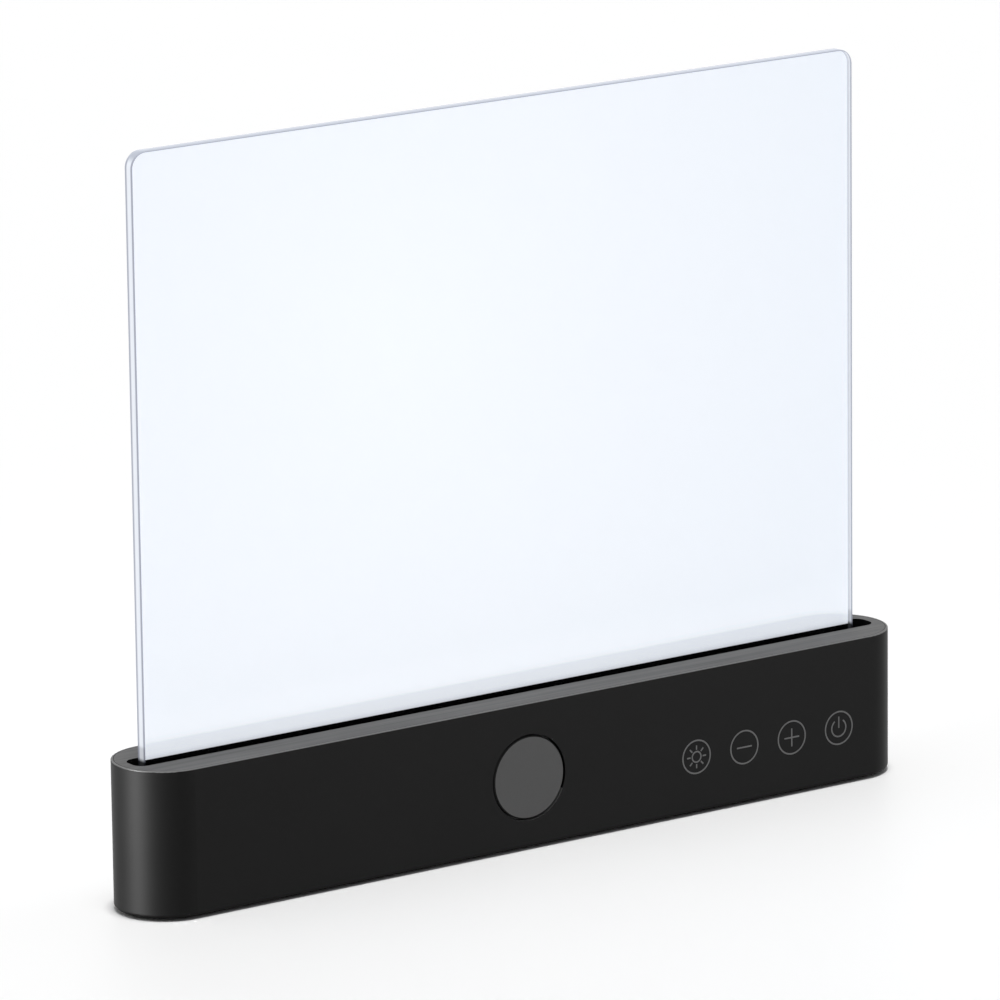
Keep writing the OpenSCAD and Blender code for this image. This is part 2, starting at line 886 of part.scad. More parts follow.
// Two leads side by side, a step apart
module lead_pair(route, step) {
    for (k = [0, 1])
        color(k == 0 ? "#b02a22" : "#1c1c1c") translate(k * step) lead(route);
}
module battery_leads() {
    translate([0, 0, cell_lead_z]) lead_pair(CELL_LEAD, [0, 0, lead_pitch]);
}
module led_leads() {
    translate([led_lead_x, 0, led_lead_z]) lead_pair(LED_LEAD, [lead_pitch, 0, 0]);
}
module charge_leads() {
    translate([charge_lead_x, 0, charge_z + charge_t]) lead_pair(CHARGE_LEAD, [lead_pitch, 0, 0]);
}

housing_shell();
top_plate();
bottom_cover();
cover_screws();
rubber_feet();
ballast_bar();
ballast_screws();
channel_base();
channel_front();
channel_back();
channel_end_left();
channel_end_right();
channel_screws();
grip_strip_front();
grip_strip_back();
slot_shield();
led_board();
led_chips();
light_panel();
glow_film();
control_board();
control_chips();
touch_springs();
icon_brightness();
icon_minus();
icon_plus();
icon_power();
push_button();
button_spring();
tact_switch();
tact_plunger();
battery_cell();
battery_board();
battery_cradle();
charge_board();
usb_shell();
usb_tongue();
battery_leads();
led_leads();
charge_leads();
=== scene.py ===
import math

import bmesh
import bpy
from mathutils import Matrix, Vector


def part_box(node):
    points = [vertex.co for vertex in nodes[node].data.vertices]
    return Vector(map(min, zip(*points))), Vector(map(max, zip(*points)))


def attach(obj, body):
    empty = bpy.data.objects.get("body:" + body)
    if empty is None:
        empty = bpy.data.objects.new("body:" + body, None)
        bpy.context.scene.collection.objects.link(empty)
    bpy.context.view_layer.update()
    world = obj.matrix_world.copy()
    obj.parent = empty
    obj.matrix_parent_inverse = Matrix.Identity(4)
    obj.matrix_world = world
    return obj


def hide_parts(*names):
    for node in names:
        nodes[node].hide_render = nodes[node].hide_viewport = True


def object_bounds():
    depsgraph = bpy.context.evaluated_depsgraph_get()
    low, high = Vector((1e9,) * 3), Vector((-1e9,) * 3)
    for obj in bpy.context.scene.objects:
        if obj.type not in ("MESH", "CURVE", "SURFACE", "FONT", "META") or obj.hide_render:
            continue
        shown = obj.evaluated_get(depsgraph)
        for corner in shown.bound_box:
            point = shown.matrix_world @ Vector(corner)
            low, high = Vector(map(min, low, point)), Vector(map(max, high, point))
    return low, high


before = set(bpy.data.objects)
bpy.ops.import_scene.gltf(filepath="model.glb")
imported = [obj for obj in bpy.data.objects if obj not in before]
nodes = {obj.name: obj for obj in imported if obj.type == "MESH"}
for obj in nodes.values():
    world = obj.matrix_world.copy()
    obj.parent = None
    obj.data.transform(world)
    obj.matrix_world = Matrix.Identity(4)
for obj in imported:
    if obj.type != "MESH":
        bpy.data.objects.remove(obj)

cad_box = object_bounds()
MM = 0.001

# Sockets of the Mix node, which keeps one set for numbers and one for colours
FACTOR = 0
NUMBER_A = 2
NUMBER_B = 3
COLOUR_A = 6
COLOUR_B = 7
NUMBER_OUT = 0
COLOUR_OUT = 2


# Helpers

def linear(hex_colour):
    """An sRGB hex value such as "#3f3f3f" as linear red, green, blue and alpha."""
    parts = [int(hex_colour[k:k + 2], 16) / 255 for k in (1, 3, 5)]
    return tuple(p / 12.92 if p <= 0.04045 else ((p + 0.055) / 1.055) ** 2.4 for p in parts) + (1.0,)


def scaled(colour, factor, lift=0.0):
    """A linear colour made darker or lighter by a factor, and paler by an even lift."""
    return tuple(min(1.0, part * factor + lift) for part in colour[:3]) + (1.0,)


def add_node(tree, kind, inputs=None, **settings):
    """Adds a node, or takes one that is there, with its settings, and sets or links its inputs."""
    node = tree.nodes.get(kind) or tree.nodes.new(kind)
    for name, value in settings.items():
        setattr(node, name, value)
    for name, value in (inputs or {}).items():
        if isinstance(value, bpy.types.NodeSocket):
            tree.links.new(value, node.inputs[name])
        else:
            node.inputs[name].default_value = value
    return node


def new_material(name):
    """A material with its node tree and its Object coordinates."""
    material = bpy.data.materials.new(name)
    material.use_nodes = True
    tree = material.node_tree
    place = add_node(tree, "ShaderNodeTexCoord").outputs["Object"]
    return material, tree, place


def faces_along(tree, axis, sign, least):
    """1 on the faces that look along an axis by this share or more, and 0 on the rest."""
    shares = add_node(tree, "ShaderNodeSeparateXYZ",
                      {"Vector": add_node(tree, "ShaderNodeTexCoord").outputs["Normal"]})
    along = add_node(tree, "ShaderNodeMath", {0: shares.outputs[axis], 1: sign}, operation="MULTIPLY")
    step = add_node(tree, "ShaderNodeMath", {0: along.outputs[0], 1: least}, operation="GREATER_THAN")
    return step.outputs[0]


def per_metre(size_mm):
    """The scale of a pattern whose features are this many millimetres wide."""
    return 1 / (size_mm * MM)


def start_piece():
    """Nothing selected, so that the next operator works on the new piece alone."""
    bpy.ops.object.select_all(action="DESELECT")


def block(name, low, high):
    """A cube from its lowest to its highest corner, as the start of a piece."""
    start_piece()
    bpy.ops.mesh.primitive_cube_add(size=1, location=(low + high) / 2)
    piece = bpy.context.object
    piece.name = name
    piece.data.name = name
    piece.scale = high - low
    bpy.ops.object.transform_apply(location=True, rotation=True, scale=True)
    return piece


def pick(piece, kind, wanted):
    """In edit mode, selects the faces or edges of a piece that the test wants."""
    bpy.ops.object.mode_set(mode="EDIT")
    bpy.ops.mesh.select_mode(type="FACE" if kind == "faces" else "EDGE")
    bpy.ops.mesh.select_all(action="DESELECT")
    mesh = bmesh.from_edit_mesh(piece.data)
    mesh.normal_update()
    for part in getattr(mesh, kind):
        if wanted(part):
            part.select_set(True)
    mesh.select_flush_mode()
    bmesh.update_edit_mesh(piece.data)


def edge_direction(edge):
    """The direction of an edge, as positive shares of X, Y and Z."""
    return Vector([abs(v) for v in (edge.verts[1].co - edge.verts[0].co).normalized()])


def edge_middle(edge):
    """The point halfway along an edge."""
    return (edge.verts[0].co + edge.verts[1].co) / 2


def apply_modifier(piece, kind, **settings):
    """Adds a modifier with its settings and applies it."""
    modifier = piece.modifiers.new(kind.title(), kind)
    for name, value in settings.items():
        setattr(modifier, name, value)
    bpy.context.view_layer.objects.active = piece
    bpy.ops.object.modifier_apply(modifier=modifier.name)


def finish_piece(piece, material, body, slot, *replaced):
    """Gives a piece its material, the body it rides on and the CAD nodes it stands for."""
    piece.data.materials.clear()
    piece.data.materials.append(material)
    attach(piece, body)
    if replaced:
        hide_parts(*replaced)


# Plastics, rubber and silicone

def moulded_plastic(name, colour, roughness, gloss, grain_mm, grain_depth_mm, painted_top_highlight=None):
    """Moulded ABS or nylon from a spark-eroded mould: an even satin colour that clouds a little from
    place to place, over a fine pebbled grain that breaks up the highlights, drawn coarser than the real one
    so that it shows. Where a top colour and roughness are given, the faces that look up take that roughness
    and that paler grey, which is a painted highlight along the top rim."""
    material, tree, place = new_material(name)
    base = linear(colour)
    mottle = 0.12
    clouds = add_node(tree, "ShaderNodeTexNoise",
                      {"Vector": place, "Scale": per_metre(24), "Detail": 3.0, "Roughness": 0.55})
    tint = add_node(tree, "ShaderNodeMix",
                    {FACTOR: clouds.outputs["Fac"],
                     COLOUR_A: scaled(base, 1 - mottle), COLOUR_B: scaled(base, 1 + mottle)},
                    data_type="RGBA")
    grain = add_node(tree, "ShaderNodeTexNoise",
                     {"Vector": place, "Scale": per_metre(grain_mm), "Detail": 2.0, "Roughness": 0.5})
    relief = add_node(tree, "ShaderNodeBump",
                      {"Height": grain.outputs["Fac"], "Strength": 1.0, "Distance": grain_depth_mm * MM})
    satin = add_node(tree, "ShaderNodeMapRange",
                     {"Value": clouds.outputs["Fac"],
                      "To Min": roughness - 0.03, "To Max": roughness + 0.03})
    coat = tint.outputs[COLOUR_OUT]
    finish = satin.outputs["Result"]
    # The upward faces take a paler grey, a painted highlight along the top rim, and their own roughness
    if painted_top_highlight:
        highlight_colour, lip_roughness = painted_top_highlight
        upward = faces_along(tree, "Z", 1, least=0.4)
        highlighted = add_node(tree, "ShaderNodeMix",
                          {FACTOR: upward, COLOUR_A: coat, COLOUR_B: linear(highlight_colour)}, data_type="RGBA")
        top_finish = add_node(tree, "ShaderNodeMix", {FACTOR: upward, NUMBER_A: finish, NUMBER_B: lip_roughness})
        coat = highlighted.outputs[COLOUR_OUT]
        finish = top_finish.outputs[NUMBER_OUT]
    add_node(tree, "Principled BSDF",
             {"Base Color": coat, "Roughness": finish,
              "Normal": relief.outputs["Normal"], "IOR": 1.5, "Specular IOR Level": gloss})
    return material


def sprayed_plate(name, colour, side_colour):
    """Black moulded plate with its top sprayed satin grey and brushed along its length: faint streaks on
    top, drawn wider than real ones so that they show. Its walls, the slot's among them, are a dull black
    deeper than the housing's, painted shade in the slot."""
    material, tree, place = new_material(name)
    base = linear(colour)
    streak_dark = 0.4
    streak_light = 1.6
    along = add_node(tree, "ShaderNodeMapping", {"Vector": place, "Scale": (0.02, 1, 1)})
    streaks = add_node(tree, "ShaderNodeTexNoise",
                       {"Vector": along.outputs["Vector"], "Scale": per_metre(1.1), "Detail": 3.0})
    coat = add_node(tree, "ShaderNodeMix",
                    {FACTOR: streaks.outputs["Fac"],
                     COLOUR_A: scaled(base, streak_dark), COLOUR_B: scaled(base, streak_light)},
                    data_type="RGBA")
    upward = faces_along(tree, "Z", 1, least=0.6)
    # The walls take a black deeper than the housing's, painted shade in the slot; the upward faces take the
    # sprayed grey
    tint = add_node(tree, "ShaderNodeMix",
                    {FACTOR: upward, COLOUR_A: linear(side_colour), COLOUR_B: coat.outputs[COLOUR_OUT]},
                    data_type="RGBA")
    finish = add_node(tree, "ShaderNodeMix", {FACTOR: upward, NUMBER_A: 0.9, NUMBER_B: 0.5})
    add_node(tree, "Principled BSDF",
             {"Base Color": tint.outputs[COLOUR_OUT], "Roughness": finish.outputs[NUMBER_OUT],
              "IOR": 1.5, "Specular IOR Level": 0.1})
    return material


def painted_disc(name, colour, side_colour):
    """Black moulded disc with its face sprayed satin grey: an even coat with fine orange peel, and bare
    black plastic on the sides, so that the gap round it stays dark."""
    material, tree, place = new_material(name)
    base = linear(colour)
    unevenness = 0.04
    peel = add_node(tree, "ShaderNodeTexNoise",
                    {"Vector": place, "Scale": per_metre(0.7), "Detail": 2.0})
    coat = add_node(tree, "ShaderNodeMix",
                    {FACTOR: peel.outputs["Fac"],
                     COLOUR_A: scaled(base, 1 - unevenness), COLOUR_B: scaled(base, 1 + unevenness)},
                    data_type="RGBA")
    tint = add_node(tree, "ShaderNodeMix",
                    {FACTOR: faces_along(tree, "Y", -1, least=0.95),
                     COLOUR_A: linear(side_colour), COLOUR_B: coat.outputs[COLOUR_OUT]},
                    data_type="RGBA")
    relief = add_node(tree, "ShaderNodeBump",
                      {"Height": peel.outputs["Fac"], "Strength": 1.0, "Distance": 0.004 * MM})
    add_node(tree, "Principled BSDF",
             {"Base Color": tint.outputs[COLOUR_OUT], "Roughness": 0.45,
              "Normal": relief.outputs["Normal"], "IOR": 1.5, "Specular IOR Level": 0.15})
    return material


def soft_rubber(name, colour, roughness, grain_mm, grain_depth_mm):
    """Moulded rubber or silicone: a dull skin with a bloom of paler dust and a soft sheen, over a grain
    that is drawn coarse enough to show."""
    material, tree, place = new_material(name)
    base = linear(colour)
    bloom = add_node(tree, "ShaderNodeTexNoise",
                     {"Vector": place, "Scale": per_metre(5), "Detail": 6.0, "Roughness": 0.65})
    dust = add_node(tree, "ShaderNodeValToRGB", {"Fac": bloom.outputs["Fac"]})
    bare, dusty = dust.color_ramp.elements
    bare.position = 0.35
    bare.color = base
    dusty.position = 0.8
    dusty.color = scaled(base, 1.5, lift=0.004)
    grain = add_node(tree, "ShaderNodeTexNoise",
                     {"Vector": place, "Scale": per_metre(grain_mm), "Detail": 3.0})
    relief = add_node(tree, "ShaderNodeBump",
                      {"Height": grain.outputs["Fac"], "Strength": 1.0, "Distance": grain_depth_mm * MM})
    add_node(tree, "Principled BSDF",
             {"Base Color": dust.outputs["Color"], "Roughness": roughness,
              "Normal": relief.outputs["Normal"], "IOR": 1.5, "Specular IOR Level": 0.3,
              "Sheen Weight": 0.08})
    return material


def wire_insulation(name, axis, middle):
    """Two PVC wires side by side, one red and one black, with the slight waviness of soft extruded PVC."""
    material, tree, place = new_material(name)
    spot = add_node(tree, "ShaderNodeSeparateXYZ", {"Vector": place})
    second = add_node(tree, "ShaderNodeMath", {0: spot.outputs[axis], 1: middle}, operation="GREATER_THAN")
    wave = add_node(tree, "ShaderNodeTexNoise",
                    {"Vector": place, "Scale": per_metre(1.5), "Detail": 2.0})
    tint = add_node(tree, "ShaderNodeMix",
                    {FACTOR: second.outputs[0], COLOUR_A: linear("#b02a22"), COLOUR_B: linear("#1c1c1c")},
                    data_type="RGBA")
    relief = add_node(tree, "ShaderNodeBump",
                      {"Height": wave.outputs["Fac"], "Strength": 1.0, "Distance": 0.03 * MM})
    add_node(tree, "Principled BSDF",
             {"Base Color": tint.outputs[COLOUR_OUT], "Roughness": 0.42,
              "Normal": relief.outputs["Normal"], "IOR": 1.53})
    return material


# Metals

def streaked_metal(name, colour, roughness, streak_mm, stretch, depth_mm):
    """Drawn, rolled or extruded metal: fine lines that run the way it was drawn, wider than real ones so
    that they show, and paler and duller patches between them. The stretch squeezes the noise along each
    axis."""
    material, tree, place = new_material(name)
    base = linear(colour)
    patches = 0.25
    drawn = add_node(tree, "ShaderNodeMapping", {"Vector": place, "Scale": stretch})
    lines = add_node(tree, "ShaderNodeTexNoise",
                     {"Vector": drawn.outputs["Vector"], "Scale": per_metre(streak_mm), "Detail": 5.0})
    tint = add_node(tree, "ShaderNodeMix",
                    {FACTOR: lines.outputs["Fac"],
                     COLOUR_A: scaled(base, 1 - patches), COLOUR_B: scaled(base, 1 + patches)},
                    data_type="RGBA")
    satin = add_node(tree, "ShaderNodeMapRange",
                     {"Value": lines.outputs["Fac"], "To Min": roughness - 0.1, "To Max": roughness + 0.1})
    relief = add_node(tree, "ShaderNodeBump",
                      {"Height": lines.outputs["Fac"], "Strength": 1.0, "Distance": depth_mm * MM})
    add_node(tree, "Principled BSDF",
             {"Base Color": tint.outputs[COLOUR_OUT], "Metallic": 1.0,
              "Roughness": satin.outputs["Result"], "Normal": relief.outputs["Normal"]})
    return material


# Circuit boards and the cell

def solder_mask(name, colour, trace_colour, trace_mm):
    """Glass-epoxy board under a coat of solder mask: glossy lacquer, with the copper tracks below it
    showing as slightly paler lines with square turns."""
    material, tree, place = new_material(name)
    weave_share = 0.25
    tracks = add_node(tree, "ShaderNodeTexBrick",
                      {"Vector": place, "Scale": per_metre(trace_mm), "Mortar Size": 0.09,
                       "Brick Width": 2.6, "Row Height": 0.8,
                       "Color1": linear(colour), "Color2": linear(colour), "Mortar": linear(trace_colour)},
                      offset=0.35, squash=0.6)
    weave = add_node(tree, "ShaderNodeTexNoise",
                     {"Vector": place, "Scale": per_metre(0.8), "Detail": 2.0})
    cloud = add_node(tree, "ShaderNodeMix",
                     {FACTOR: weave_share,
                      COLOUR_A: tracks.outputs["Color"], COLOUR_B: weave.outputs["Color"]},
                     data_type="RGBA", blend_type="MULTIPLY")
    relief = add_node(tree, "ShaderNodeBump",
                      {"Height": tracks.outputs["Fac"], "Strength": 1.0, "Distance": 0.03 * MM})
    add_node(tree, "Principled BSDF",
             {"Base Color": cloud.outputs[COLOUR_OUT], "Roughness": 0.35,
              "Normal": relief.outputs["Normal"], "IOR": 1.53})
    return material


def phosphor_resin(name):
    """Light chips: yellow phosphor in clear resin, lit from within, with its grains drawn coarser than
    real ones so that they show."""
    material, tree, place = new_material(name)
    grains = add_node(tree, "ShaderNodeTexNoise",
                      {"Vector": place, "Scale": per_metre(0.3), "Detail": 3.0})
    tint = add_node(tree, "ShaderNodeMix",
                    {FACTOR: grains.outputs["Fac"],
                     COLOUR_A: linear("#e8d68a"), COLOUR_B: linear("#fbf3c8")},
                    data_type="RGBA")
    add_node(tree, "Principled BSDF",
             {"Base Color": tint.outputs[COLOUR_OUT], "Roughness": 0.25, "IOR": 1.5,
              "Emission Color": tint.outputs[COLOUR_OUT], "Emission Strength": 1.0})
    return material


def shrink_film(name, low, high):
    """Heat-shrunk PVC sleeve on a round cell: glossy blue film, drawn tight over the can, that turns to
    bare metal grey where it stops short of the two ends."""
    material, tree, place = new_material(name)
    middle = (low.x + high.x) / 2
    bare_end = 0.4 * MM
    bare_from = (high.x - low.x) / 2 - bare_end
    spot = add_node(tree, "ShaderNodeSeparateXYZ", {"Vector": place})
    offset = add_node(tree, "ShaderNodeMath", {0: spot.outputs["X"], 1: middle}, operation="SUBTRACT")
    reach = add_node(tree, "ShaderNodeMath", {0: offset.outputs[0]}, operation="ABSOLUTE")
    bare = add_node(tree, "ShaderNodeMath", {0: reach.outputs[0], 1: bare_from}, operation="GREATER_THAN")
    ripple = add_node(tree, "ShaderNodeTexNoise",
                      {"Vector": place, "Scale": per_metre(3), "Detail": 2.0})
    film = add_node(tree, "ShaderNodeMix",
                    {FACTOR: ripple.outputs["Fac"],
                     COLOUR_A: linear("#2f63a4"), COLOUR_B: linear("#4479b8")},
                    data_type="RGBA")
    tint = add_node(tree, "ShaderNodeMix",
                    {FACTOR: bare.outputs[0],
                     COLOUR_A: film.outputs[COLOUR_OUT], COLOUR_B: linear("#a8abb0")},
                    data_type="RGBA")
    relief = add_node(tree, "ShaderNodeBump",
                      {"Height": ripple.outputs["Fac"], "Strength": 1.0, "Distance": 0.05 * MM})
    add_node(tree, "Principled BSDF",
             {"Base Color": tint.outputs[COLOUR_OUT], "Metallic": bare.outputs[0], "Roughness": 0.25,
              "Normal": relief.outputs["Normal"], "IOR": 1.53})
    return material


# Sheet and film

def cast_acrylic(name):
    """Cast acrylic: clear as glass, with the very slight waviness of a cast face and a breath of blue."""
    material, tree, place = new_material(name)
    waves = add_node(tree, "ShaderNodeTexNoise",
                     {"Vector": place, "Scale": per_metre(30), "Detail": 1.0})
    relief = add_node(tree, "ShaderNodeBump",
                      {"Height": waves.outputs["Fac"], "Strength": 1.0, "Distance": 0.01 * MM})
    add_node(tree, "Principled BSDF",
             {"Base Color": linear("#fdfeff"), "Roughness": 0.02, "IOR": 1.49, "Transmission Weight": 1.0,
              "Normal": relief.outputs["Normal"]})
    return material


def acrylic_edge(name, low, high, base_top):
    """The polished edge of the sheet, where the light that is trapped in the plastic leaves: pale blue-grey
    on the sides and even blue-grey on top. Painted shade dims it where it stands in the slot and in a band
    just above the base, and darkens a line along both arrises; seen from within, through the sheet, the
    rear line is fainter and the front one wider."""
    material, tree, place = new_material(name)
    rear_line = (high.y - 1.2 * MM, high.y - 0.7 * MM)
    front_line = (low.y + 0.25 * MM, low.y + 0.55 * MM)
    wide_front_line = (low.y + 1.1 * MM, low.y + 1.9 * MM)
    slot_mouth = (base_top - 0.8 * MM, base_top + 0.6 * MM)
    base_shade = (base_top + 2.8 * MM, base_top + 4 * MM)
    faint_share = 0.4
    slot_shade_level = 0.03
    shade_level = 0.7
    spot = add_node(tree, "ShaderNodeSeparateXYZ", {"Vector": place})
    # Painted shade: darker lines along the two arrises, fainter and wider as seen from within
    rear = add_node(tree, "ShaderNodeMapRange",
                    {"Value": spot.outputs["Y"], "From Min": rear_line[0], "From Max": rear_line[1]},
                    interpolation_type="SMOOTHSTEP")
    front = add_node(tree, "ShaderNodeMapRange",
                     {"Value": spot.outputs["Y"], "From Min": front_line[0], "From Max": front_line[1],
                      "To Min": 1.0, "To Max": 0.0},
                     interpolation_type="SMOOTHSTEP")
    outside = add_node(tree, "ShaderNodeMath",
                       {0: rear.outputs["Result"], 1: front.outputs["Result"]}, operation="MAXIMUM")
    faint_rear = add_node(tree, "ShaderNodeMath",
                          {0: rear.outputs["Result"], 1: faint_share}, operation="MULTIPLY")
    wide_front = add_node(tree, "ShaderNodeMapRange",
                          {"Value": spot.outputs["Y"],
                           "From Min": wide_front_line[0], "From Max": wide_front_line[1],
                           "To Min": 1.0, "To Max": 0.0},
                          interpolation_type="SMOOTHSTEP")
    inside = add_node(tree, "ShaderNodeMath",
                      {0: faint_rear.outputs[0], 1: wide_front.outputs["Result"]}, operation="MAXIMUM")
    arris_shade = add_node(tree, "ShaderNodeMix",
                     {FACTOR: add_node(tree, "ShaderNodeNewGeometry").outputs["Backfacing"],
                      NUMBER_A: outside.outputs[0], NUMBER_B: inside.outputs[0]})
    sides = add_node(tree, "ShaderNodeMix",
                     {FACTOR: arris_shade.outputs[NUMBER_OUT],
                      COLOUR_A: linear("#ecf0f6"), COLOUR_B: linear("#999ca9")},
                     data_type="RGBA")
    looks = add_node(tree, "ShaderNodeSeparateXYZ",
                     {"Vector": add_node(tree, "ShaderNodeTexCoord").outputs["Normal"]})
    upward = add_node(tree, "ShaderNodeMapRange",
                      {"Value": looks.outputs["Z"], "From Min": 0.3, "From Max": 0.8},
                      interpolation_type="SMOOTHSTEP")
    tone = add_node(tree, "ShaderNodeMix",
                    {FACTOR: upward.outputs["Result"],
                     COLOUR_A: sides.outputs[COLOUR_OUT], COLOUR_B: linear("#abb0ba")},
                    data_type="RGBA")
    saw = add_node(tree, "ShaderNodeTexNoise",
                   {"Vector": place, "Scale": per_metre(2.5), "Detail": 2.0})
    marks = add_node(tree, "ShaderNodeMapRange",
                     {"Value": saw.outputs["Fac"], "To Min": 0.97, "To Max": 1.03})
    # Painted shade: dim in the slot and in a band just above the base
    foot = add_node(tree, "ShaderNodeMapRange",
                    {"Value": spot.outputs["Z"], "From Min": slot_mouth[0], "From Max": slot_mouth[1],
                     "To Min": slot_shade_level, "To Max": 1.0},
                    interpolation_type="SMOOTHSTEP")
    shade = add_node(tree, "ShaderNodeMapRange",
                     {"Value": spot.outputs["Z"], "From Min": base_shade[0], "From Max": base_shade[1],
                      "To Min": shade_level, "To Max": 1.0},
                     interpolation_type="SMOOTHSTEP")
    dim = add_node(tree, "ShaderNodeMath",
                   {0: shade.outputs["Result"], 1: foot.outputs["Result"]}, operation="MULTIPLY")
    level = add_node(tree, "ShaderNodeMath",
                     {0: marks.outputs["Result"], 1: dim.outputs[0]}, operation="MULTIPLY")
    light = add_node(tree, "ShaderNodeMix",
                     {FACTOR: 1.0, COLOUR_A: tone.outputs[COLOUR_OUT], COLOUR_B: level.outputs[0]},
                     data_type="RGBA", blend_type="MULTIPLY")
    # Painted shade: a darker base colour down in the slot
    body = add_node(tree, "ShaderNodeMix",
                    {FACTOR: foot.outputs["Result"],
                     COLOUR_A: linear("#14161b"), COLOUR_B: linear("#70747e")},
                    data_type="RGBA")
    add_node(tree, "Principled BSDF",
             {"Base Color": body.outputs[COLOUR_OUT], "Roughness": 0.18, "IOR": 1.49,
              "Specular IOR Level": 0.1,
              "Emission Color": light.outputs[COLOUR_OUT], "Emission Strength": 0.86})
    return material


def glowing_film(name, low, high, shade_top, turn_from):
    """White diffusing film lit through its edge: cool white, brightest left of the middle and above it,
    falling off towards the sides, with a paler line along its two upright borders. A band of painted shade
    runs along its bottom where the edge of the base stands close by, and it turns down with the round end
    of the base; the bottom edge itself, down in the slot, is painted darker still. Just above that band the
    film is a little brighter, partly from the lit strip below and partly painted light that evens out the
    base's shade. Its matt haze is drawn coarser than the real one, so that it shows."""
    material, tree, place = new_material(name)
    heart = Vector((-35 * MM, 0, 140 * MM))
    reach = 190 * MM
    border_line = (high.x - 2.4 * MM, high.x - 1.2 * MM)
    border_level = 1.05
    turn_per_metre = 8.2
    shade_band_edge = (shade_top - 0.2 * MM, shade_top + 0.2 * MM)
    shade_band_level = 0.92
    foot_shade_line = (low.z - 0.4 * MM, low.z + 1.4 * MM)
    foot_shade_level = 0.72
    lift_reach = 12 * MM
    lift_level = 1.06
    centred = add_node(tree, "ShaderNodeMapping",
                       {"Vector": place, "Location": -heart / reach, "Scale": (1 / reach, 0, 1 / reach)})
    ball = add_node(tree, "ShaderNodeTexGradient", {"Vector": centred.outputs["Vector"]},
                    gradient_type="SPHERICAL")
    glow = add_node(tree, "ShaderNodeValToRGB", {"Fac": ball.outputs["Fac"]})
    stops = glow.color_ramp.elements
    stops[0].position = 0.2
    stops[0].color = linear("#eff3f9")
    stops[1].position = 0.95
    stops[1].color = linear("#f9fcff")
    stops.new(0.55).color = linear("#f4f7fc")
    spot = add_node(tree, "ShaderNodeSeparateXYZ", {"Vector": place})
    off_middle = add_node(tree, "ShaderNodeMath", {0: spot.outputs["X"]}, operation="ABSOLUTE")
    border = add_node(tree, "ShaderNodeMapRange",
                      {"Value": off_middle.outputs[0],
                       "From Min": border_line[0], "From Max": border_line[1],
                       "To Min": 1.0, "To Max": border_level},
                      interpolation_type="SMOOTHSTEP")
    # Painted shade: a dimmer band along the bottom, where the base's rim stands close by, turning down at
    # the round end
    past = add_node(tree, "ShaderNodeMath", {0: spot.outputs["X"], 1: turn_from}, operation="SUBTRACT")
    reach_in = add_node(tree, "ShaderNodeMath", {0: past.outputs[0], 1: 0.0}, operation="MAXIMUM")
    square = add_node(tree, "ShaderNodeMath", {0: reach_in.outputs[0], 1: 2.0}, operation="POWER")
    lifted = add_node(tree, "ShaderNodeMath",
                      {0: square.outputs[0], 1: turn_per_metre, 2: spot.outputs["Z"]},
                      operation="MULTIPLY_ADD")
    shade = add_node(tree, "ShaderNodeMapRange",
                     {"Value": lifted.outputs[0], "From Min": shade_band_edge[0], "From Max": shade_band_edge[1],
                      "To Min": shade_band_level, "To Max": 1.0})
    # Painted shade: darker still at the bottom edge, down in the slot
    foot = add_node(tree, "ShaderNodeMapRange",
                    {"Value": spot.outputs["Z"], "From Min": foot_shade_line[0], "From Max": foot_shade_line[1],
                     "To Min": foot_shade_level, "To Max": 1.0},
                    interpolation_type="SMOOTHSTEP")
    dim = add_node(tree, "ShaderNodeMath",
                   {0: shade.outputs["Result"], 1: foot.outputs["Result"]}, operation="MULTIPLY")
    # A little brighter just above the band: partly the glow of the lit strip below, partly painted light
    # that evens out the base's shade
    near = add_node(tree, "ShaderNodeMapRange",
                    {"Value": spot.outputs["Z"], "From Min": shade_top, "From Max": shade_top + lift_reach,
                     "To Min": lift_level, "To Max": 1.0},
                    interpolation_type="SMOOTHSTEP")
    lit = add_node(tree, "ShaderNodeMath",
                   {0: near.outputs["Result"], 1: border.outputs["Result"]}, operation="MULTIPLY")
    level = add_node(tree, "ShaderNodeMath", {0: dim.outputs[0], 1: lit.outputs[0]}, operation="MULTIPLY")
    light = add_node(tree, "ShaderNodeMix",
                     {FACTOR: 1.0, COLOUR_A: glow.outputs["Color"], COLOUR_B: level.outputs[0]},
                     data_type="RGBA", blend_type="MULTIPLY")
    haze = add_node(tree, "ShaderNodeTexNoise",
                    {"Vector": place, "Scale": per_metre(0.6), "Detail": 2.0})
    relief = add_node(tree, "ShaderNodeBump",
                      {"Height": haze.outputs["Fac"], "Strength": 1.0, "Distance": 0.01 * MM})
    add_node(tree, "Principled BSDF",
             {"Base Color": linear("#90949b"), "Roughness": 0.5, "IOR": 1.5, "Specular IOR Level": 0.2,
              "Normal": relief.outputs["Normal"],
              "Emission Color": light.outputs[COLOUR_OUT], "Emission Strength": 0.815})
    return material


# New pieces

SHEET_CORNER = 4.3 * MM
FILM_OFF_SHEET = 0.02 * MM
POLISHED_EDGE = 0.3 * MM
FOOT_RADIUS = 4 * MM
FOOT_RIM = 1.1 * MM
FOOT_DISH_SLOPE = 0.5 * MM
FOOT_DISH_DEPTH = 0.25 * MM
FOOT_ROUND = 0.25 * MM
CONTACT_COUNT = 12
CONTACT_PITCH = 0.5 * MM
CONTACT_WIDTH = 0.28 * MM
CONTACT_LENGTH = 3.2 * MM
CONTACT_THICKNESS = 0.06 * MM
CONTACT_SETBACK = 0.5 * MM
CONTACT_ROUND = 0.7 * CONTACT_THICKNESS
TONGUE_HALF = 0.35 * MM
# The share of a direction from which an edge or a face counts as lying along an axis
ALONG_AXIS = 0.9
# The same for the two broad faces of the sheet
BROAD_FACE = 0.99
TOP_TOLERANCE = 0.01 * MM


